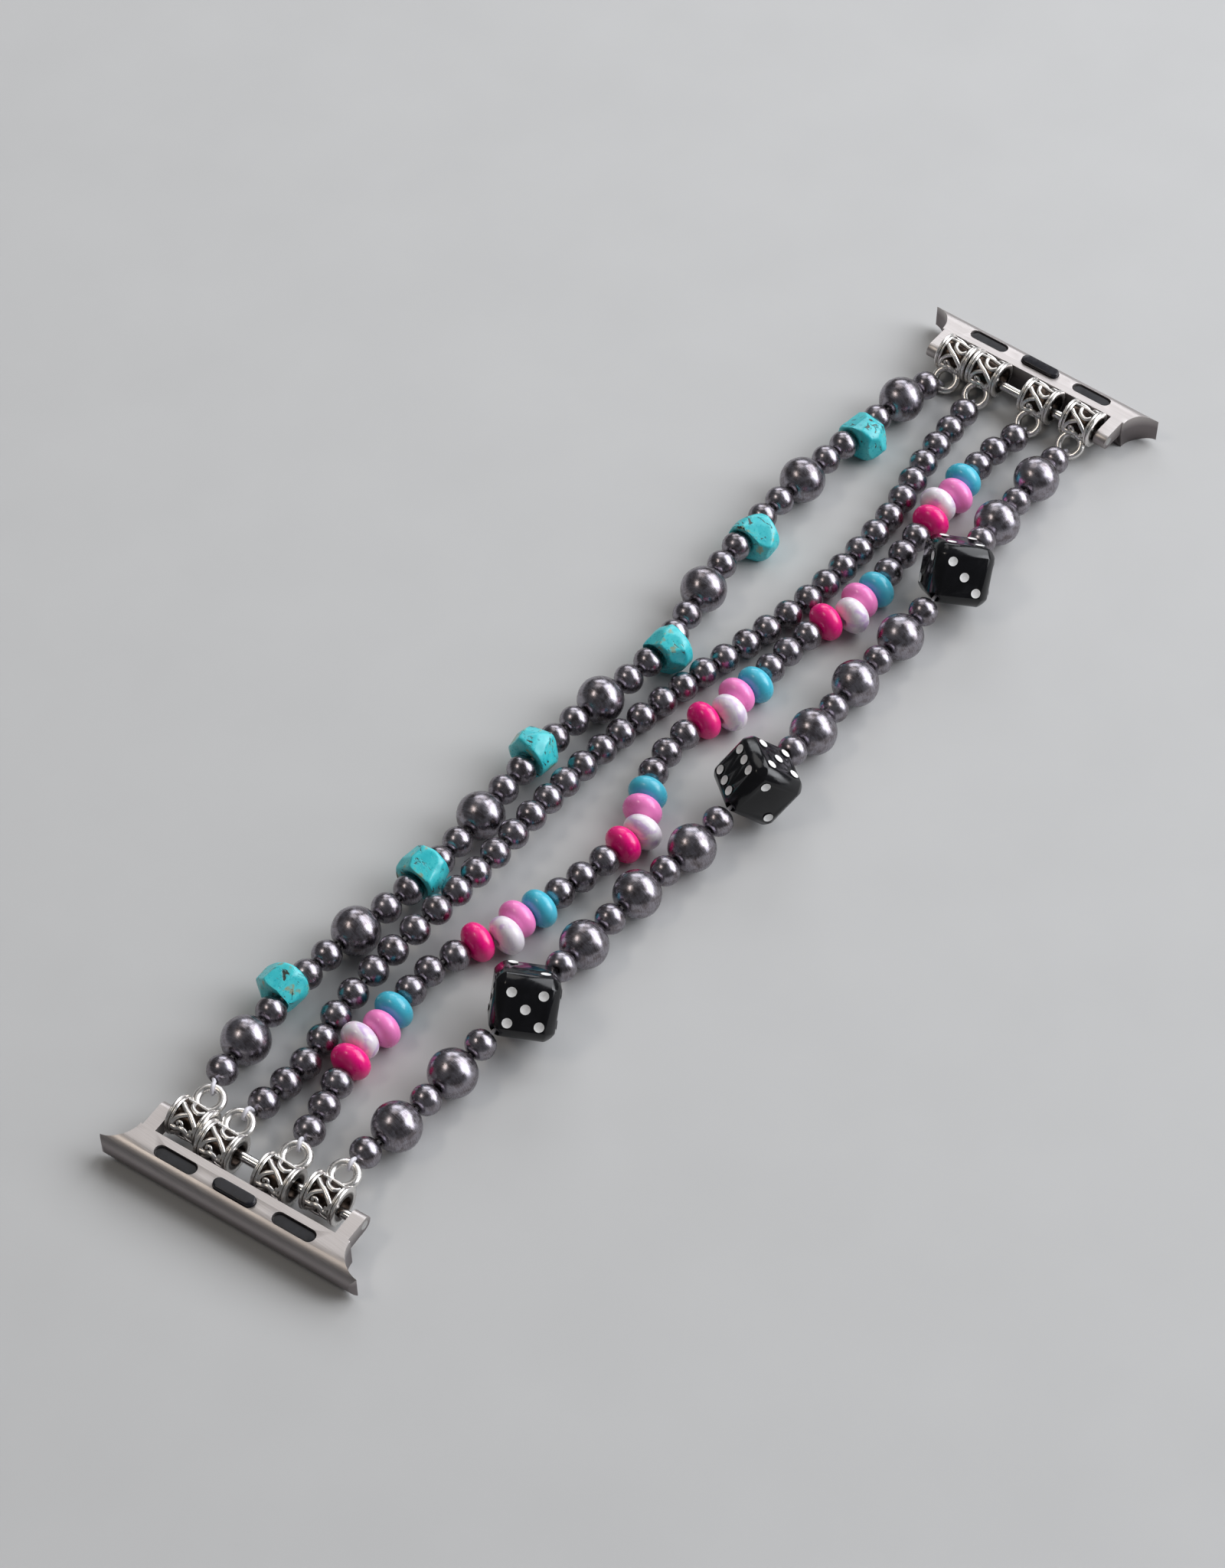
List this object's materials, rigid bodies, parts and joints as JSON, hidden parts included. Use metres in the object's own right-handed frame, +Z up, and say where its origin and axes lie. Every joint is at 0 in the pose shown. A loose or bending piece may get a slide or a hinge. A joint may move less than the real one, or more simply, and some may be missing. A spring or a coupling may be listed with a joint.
{
  "type": "stretch watch band",
  "caption": "Stretch watch band: strands of dark metal pearls, turquoise chips, coloured beads and black dice on elastic cord, between two steel lug adapters with swinging silver end bails.",
  "frame": {"origin": "middle of the band's box, on the plane that it lies on", "axes": "+X along the band from the near adapter to the far one, +Y towards strand 1 (the chips), +Z up, away from the plane, on the side that faces the wrist when worn"},
  "size_m": [0.1705, 0.0391, 0.0111],
  "materials": {
    "adapter_steel": "warm brushed stainless steel with a polished rounded outer edge",
    "pad_rubber": "dark grey matte rubber",
    "latch_button": "dark grey satin",
    "spring_steel": "bright spring wire",
    "bar_steel": "bright smooth steel",
    "bail_silver": "cast antique silver, dark in its recesses",
    "elastic_cord": "clear to pale lilac elastic",
    "pearl_metal": "antiqued dark silver, satin, brushed round the hole",
    "turquoise_stone": "polished turquoise with faint ochre patches and brown matrix",
    "die_black": "glossy black with white pips",
    "bead_hot_pink": "opaque satin-gloss hot pink",
    "bead_marble": "lilac-white marble with faint purple and yellow swirls",
    "bead_light_pink": "opaque satin-gloss light pink",
    "bead_turquoise": "opaque satin-gloss turquoise",
    "pip_white": "white paint in the pips"
  },
  "bodies": {
    "near_adapter": {"near_frame": "adapter_steel", "near_side_pads": "pad_rubber", "near_latch_spring": "spring_steel", "near_bar": "bar_steel"},
    "near_latch": {"near_latch_button": "latch_button"},
    "near_bail_1": {"near_bail_1": "bail_silver"},
    "near_bail_2": {"near_bail_2": "bail_silver"},
    "near_bail_3": {"near_bail_3": "bail_silver"},
    "near_bail_4": {"near_bail_4": "bail_silver"},
    "row_01_near": {"row_01_near": "pearl_metal"},
    "row_01_far": {"row_01_far": "pearl_metal"},
    "row_02": {"row_02": "pearl_metal", "chip_1": "turquoise_stone", "color_set_1": "bead_hot_pink"},
    "row_03_near": {"row_03_near": "pearl_metal", "die_1": "die_black"},
    "row_03_far": {"row_03_far": "pearl_metal"},
    "row_04": {"row_04": "pearl_metal", "chip_2": "turquoise_stone", "color_set_2": "bead_hot_pink"},
    "row_05_near": {"row_05_near": "pearl_metal"},
    "row_05_far": {"row_05_far": "pearl_metal"},
    "row_06": {"row_06": "pearl_metal", "chip_3": "turquoise_stone", "color_set_3": "bead_hot_pink"},
    "row_07_near": {"row_07_near": "pearl_metal", "die_2": "die_black", "cord_1": "elastic_cord", "cord_2": "elastic_cord", "cord_3": "elastic_cord", "cord_4": "elastic_cord"},
    "row_07_far": {"row_07_far": "pearl_metal"},
    "row_08": {"row_08": "pearl_metal", "chip_4": "turquoise_stone", "color_set_4": "bead_hot_pink"},
    "row_09_near": {"row_09_near": "pearl_metal"},
    "row_09_far": {"row_09_far": "pearl_metal"},
    "row_10": {"row_10": "pearl_metal", "chip_5": "turquoise_stone", "color_set_5": "bead_hot_pink"},
    "row_11_near": {"row_11_near": "pearl_metal"},
    "row_11_far": {"row_11_far": "pearl_metal", "die_3": "die_black"},
    "row_12": {"row_12": "pearl_metal", "chip_6": "turquoise_stone", "color_set_6": "bead_hot_pink"},
    "row_13_near": {"row_13_near": "pearl_metal"},
    "row_13_far": {"row_13_far": "pearl_metal"},
    "far_bail_1": {"far_bail_1": "bail_silver"},
    "far_bail_2": {"far_bail_2": "bail_silver"},
    "far_bail_3": {"far_bail_3": "bail_silver"},
    "far_bail_4": {"far_bail_4": "bail_silver"},
    "far_adapter": {"far_frame": "adapter_steel", "far_side_pads": "pad_rubber", "far_latch_spring": "spring_steel", "far_bar": "bar_steel"},
    "far_latch": {"far_latch_button": "latch_button"}
  },
  "joints": [
    {"name": "near_latch_press", "type": "slide", "parent": "near_adapter", "child": "near_latch", "axis": [0, 0, -1], "range_m": [0, 0.0007], "stiffness_N_per_m": 800, "springref_m": -0.0005, "deforming": ["near_latch_spring"]},
    {"name": "near_swing", "type": "hinge", "parent": "near_adapter", "child": "near_bail_2", "pos_m": [-0.07621, -0.00129, 0.0033], "axis": [0.0993, -0.9951, 0], "range_deg": [-25, 25]},
    {"name": "near_bail_1_swing", "type": "hinge", "parent": "near_adapter", "child": "near_bail_1", "pos_m": [-0.07621, -0.00129, 0.0033], "axis": [0.0993, -0.9951, 0], "range_deg": [-25, 25]},
    {"name": "near_bail_3_swing", "type": "hinge", "parent": "near_adapter", "child": "near_bail_3", "pos_m": [-0.07621, -0.00129, 0.0033], "axis": [0.0993, -0.9951, 0], "range_deg": [-25, 25]},
    {"name": "near_bail_4_swing", "type": "hinge", "parent": "near_adapter", "child": "near_bail_4", "pos_m": [-0.07621, -0.00129, 0.0033], "axis": [0.0993, -0.9951, 0], "range_deg": [-25, 25]},
    {"name": "near_ring_fold", "type": "hinge", "parent": "near_bail_2", "child": "row_01_near", "pos_m": [-0.0713, 0, 0.00401], "axis": [0, -1, 0], "range_deg": [-12, 12]},
    {"name": "stretch_01", "type": "slide", "parent": "row_01_near", "child": "row_01_far", "axis": [1, 0, 0], "range_m": [0, 0.004], "stiffness_N_per_m": 3000, "springref_m": -0.0004, "deforming": ["cord_1", "cord_2", "cord_3", "cord_4"]},
    {"name": "bend_01", "type": "hinge", "parent": "row_01_far", "child": "row_02", "pos_m": [-0.0602, 0, 0.0046], "axis": [0, -1, 0], "range_deg": [-4, 20]},
    {"name": "bend_02", "type": "hinge", "parent": "row_02", "child": "row_03_near", "pos_m": [-0.0479, 0, 0.0046], "axis": [0, -1, 0], "range_deg": [-4, 20]},
    {"name": "stretch_02", "type": "slide", "parent": "row_03_near", "child": "row_03_far", "axis": [1, 0, 0], "range_m": [0, 0.004]},
    {"name": "bend_03", "type": "hinge", "parent": "row_03_far", "child": "row_04", "pos_m": [-0.03734, 0, 0.0046], "axis": [0, -1, 0], "range_deg": [-4, 20]},
    {"name": "bend_04", "type": "hinge", "parent": "row_04", "child": "row_05_near", "pos_m": [-0.02618, 0, 0.0046], "axis": [0, -1, 0], "range_deg": [-4, 20]},
    {"name": "stretch_03", "type": "slide", "parent": "row_05_near", "child": "row_05_far", "axis": [1, 0, 0], "range_m": [0, 0.004]},
    {"name": "bend_05", "type": "hinge", "parent": "row_05_far", "child": "row_06", "pos_m": [-0.01679, 0, 0.0046], "axis": [0, -1, 0], "range_deg": [-4, 20]},
    {"name": "bend_06", "type": "hinge", "parent": "row_06", "child": "row_07_near", "pos_m": [-0.00466, 0, 0.0046], "axis": [0, -1, 0], "range_deg": [-4, 20]},
    {"name": "stretch_04", "type": "slide", "parent": "row_07_near", "child": "row_07_far", "axis": [1, 0, 0], "range_m": [0, 0.004]},
    {"name": "bend_07", "type": "hinge", "parent": "row_07_far", "child": "row_08", "pos_m": [0.00677, 0, 0.0046], "axis": [0, -1, 0], "range_deg": [-4, 20]},
    {"name": "bend_08", "type": "hinge", "parent": "row_08", "child": "row_09_near", "pos_m": [0.01974, 0, 0.0046], "axis": [0, -1, 0], "range_deg": [-4, 20]},
    {"name": "stretch_05", "type": "slide", "parent": "row_09_near", "child": "row_09_far", "axis": [1, 0, 0], "range_m": [0, 0.004]},
    {"name": "bend_09", "type": "hinge", "parent": "row_09_far", "child": "row_10", "pos_m": [0.02999, 0, 0.0046], "axis": [0, -1, 0], "range_deg": [-4, 20]},
    {"name": "bend_10", "type": "hinge", "parent": "row_10", "child": "row_11_near", "pos_m": [0.04043, 0, 0.0046], "axis": [0, -1, 0], "range_deg": [-4, 20]},
    {"name": "stretch_06", "type": "slide", "parent": "row_11_near", "child": "row_11_far", "axis": [1, 0, 0], "range_m": [0, 0.004]},
    {"name": "bend_11", "type": "hinge", "parent": "row_11_far", "child": "row_12", "pos_m": [0.05104, 0, 0.0046], "axis": [0, -1, 0], "range_deg": [-4, 20]},
    {"name": "bend_12", "type": "hinge", "parent": "row_12", "child": "row_13_near", "pos_m": [0.06336, 0, 0.0046], "axis": [0, -1, 0], "range_deg": [-4, 20]},
    {"name": "stretch_07", "type": "slide", "parent": "row_13_near", "child": "row_13_far", "axis": [1, 0, 0], "range_m": [0, 0.004]},
    {"name": "far_ring_fold", "type": "hinge", "parent": "row_13_far", "child": "far_bail_2", "pos_m": [0.0746, 0, 0.00065], "axis": [0, -1, 0], "range_deg": [-12, 12]},
    {"name": "far_swing", "type": "hinge", "parent": "far_bail_2", "child": "far_adapter", "pos_m": [0.078, 0.00157, 0.0033], "axis": [0.0087, -1, 0], "range_deg": [-25, 25]},
    {"name": "far_bail_1_swing", "type": "hinge", "parent": "far_adapter", "child": "far_bail_1", "pos_m": [0.078, 0.00157, 0.0033], "axis": [0.0087, -1, 0], "range_deg": [-25, 25]},
    {"name": "far_bail_3_swing", "type": "hinge", "parent": "far_adapter", "child": "far_bail_3", "pos_m": [0.078, 0.00157, 0.0033], "axis": [0.0087, -1, 0], "range_deg": [-25, 25]},
    {"name": "far_bail_4_swing", "type": "hinge", "parent": "far_adapter", "child": "far_bail_4", "pos_m": [0.078, 0.00157, 0.0033], "axis": [0.0087, -1, 0], "range_deg": [-25, 25]},
    {"name": "far_latch_press", "type": "slide", "parent": "far_adapter", "child": "far_latch", "axis": [0, 0, -1], "range_m": [0, 0.0007], "stiffness_N_per_m": 800, "springref_m": -0.0005, "deforming": ["far_latch_spring"]}
  ],
  "couplings": [
    {"joint": "near_bail_1_swing", "follows": "near_swing", "ratio": 1},
    {"joint": "near_bail_3_swing", "follows": "near_swing", "ratio": 1},
    {"joint": "near_bail_4_swing", "follows": "near_swing", "ratio": 1},
    {"joint": "far_bail_1_swing", "follows": "far_swing", "ratio": -1},
    {"joint": "far_bail_3_swing", "follows": "far_swing", "ratio": -1},
    {"joint": "far_bail_4_swing", "follows": "far_swing", "ratio": -1},
    {"joint": "stretch_02", "follows": "stretch_01", "ratio": 1},
    {"joint": "stretch_03", "follows": "stretch_01", "ratio": 1},
    {"joint": "stretch_04", "follows": "stretch_01", "ratio": 1},
    {"joint": "stretch_05", "follows": "stretch_01", "ratio": 1},
    {"joint": "stretch_06", "follows": "stretch_01", "ratio": 1},
    {"joint": "stretch_07", "follows": "stretch_01", "ratio": 1}
  ]
}
